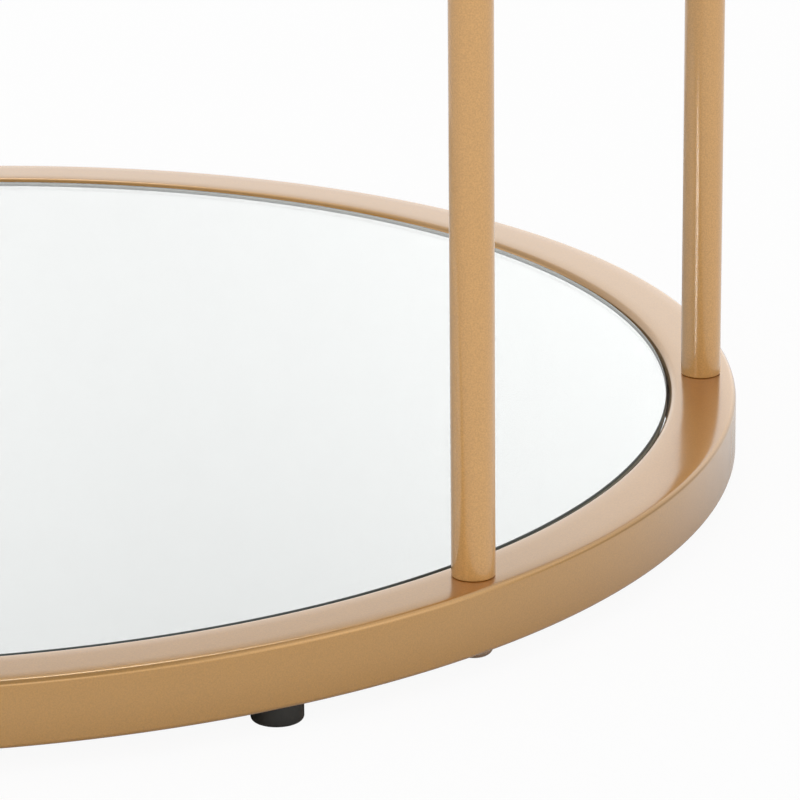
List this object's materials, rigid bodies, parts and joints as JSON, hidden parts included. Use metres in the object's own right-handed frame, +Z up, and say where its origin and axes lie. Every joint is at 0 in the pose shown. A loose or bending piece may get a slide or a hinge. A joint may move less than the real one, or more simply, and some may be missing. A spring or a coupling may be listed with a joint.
{
  "type": "tiered coffee table",
  "caption": "Round tiered coffee table: gold tube rings joined by slim posts, with an inset mirror shelf, a lift-out clear glass top and black levelling feet.",
  "frame": {"origin": "centre of the table, on the floor under its feet", "axes": "+Z up; +X through the middle of one pair of posts; -Y is the front, an open side"},
  "size_m": [0.8, 0.8, 0.45],
  "materials": {
    "gold_paint": "satin metallic",
    "mirror": "polished",
    "clear_glass": "polished",
    "backing_board": "painted fibreboard",
    "black_plastic": "matte",
    "zinc_steel": "zinc plated",
    "bronze_plate": "satin plated",
    "clear_silicone": "clear"
  },
  "bodies": {
    "frame": {"lower_ring": "gold_paint", "upper_ring": "gold_paint", "lower_tab_right": "gold_paint", "lower_pad_right": "clear_silicone", "upper_tab_right": "gold_paint", "upper_pad_right": "clear_silicone", "lower_tab_rear": "gold_paint", "lower_pad_rear": "clear_silicone", "upper_tab_rear": "gold_paint", "upper_pad_rear": "clear_silicone", "lower_tab_left": "gold_paint", "lower_pad_left": "clear_silicone", "upper_tab_left": "gold_paint", "upper_pad_left": "clear_silicone", "lower_tab_front": "gold_paint", "lower_pad_front": "clear_silicone", "upper_tab_front": "gold_paint", "upper_pad_front": "clear_silicone", "post_right_front": "gold_paint", "post_plug_right_front": "zinc_steel", "post_stud_right_front": "zinc_steel", "post_bolt_right_front": "bronze_plate", "post_washer_right_front": "zinc_steel", "upper_bush_right_front": "zinc_steel", "foot_bush_right_front": "zinc_steel", "post_right_rear": "gold_paint", "post_plug_right_rear": "zinc_steel", "post_stud_right_rear": "zinc_steel", "post_bolt_right_rear": "bronze_plate", "post_washer_right_rear": "zinc_steel", "upper_bush_right_rear": "zinc_steel", "foot_bush_right_rear": "zinc_steel", "post_left_front": "gold_paint", "post_plug_left_front": "zinc_steel", "post_stud_left_front": "zinc_steel", "post_bolt_left_front": "bronze_plate", "post_washer_left_front": "zinc_steel", "upper_bush_left_front": "zinc_steel", "foot_bush_left_front": "zinc_steel", "post_left_rear": "gold_paint", "post_plug_left_rear": "zinc_steel", "post_stud_left_rear": "zinc_steel", "post_bolt_left_rear": "bronze_plate", "post_washer_left_rear": "zinc_steel", "upper_bush_left_rear": "zinc_steel", "foot_bush_left_rear": "zinc_steel"},
    "glass_top": {"upper_glass": "clear_glass"},
    "mirror_shelf": {"lower_mirror": "mirror", "lower_board": "backing_board"},
    "foot_right_front": {"foot_glide_right_front": "black_plastic", "foot_stud_right_front": "zinc_steel"},
    "foot_right_rear": {"foot_glide_right_rear": "black_plastic", "foot_stud_right_rear": "zinc_steel"},
    "foot_left_front": {"foot_glide_left_front": "black_plastic", "foot_stud_left_front": "zinc_steel"},
    "foot_left_rear": {"foot_glide_left_rear": "black_plastic", "foot_stud_left_rear": "zinc_steel"}
  },
  "joints": [
    {"name": "glass_top_lift", "type": "slide", "parent": "frame", "child": "glass_top", "axis": [0, 0, 1], "range_m": [0, 0.05]},
    {"name": "mirror_shelf_lift", "type": "slide", "parent": "frame", "child": "mirror_shelf", "axis": [0, 0, 1], "range_m": [0, 0.05]},
    {"name": "foot_right_front_level", "type": "slide", "parent": "frame", "child": "foot_right_front", "axis": [0, 0, -1], "range_m": [0, 0.008]},
    {"name": "foot_right_rear_level", "type": "slide", "parent": "frame", "child": "foot_right_rear", "axis": [0, 0, -1], "range_m": [0, 0.008]},
    {"name": "foot_left_front_level", "type": "slide", "parent": "frame", "child": "foot_left_front", "axis": [0, 0, -1], "range_m": [0, 0.008]},
    {"name": "foot_left_rear_level", "type": "slide", "parent": "frame", "child": "foot_left_rear", "axis": [0, 0, -1], "range_m": [0, 0.008]}
  ]
}
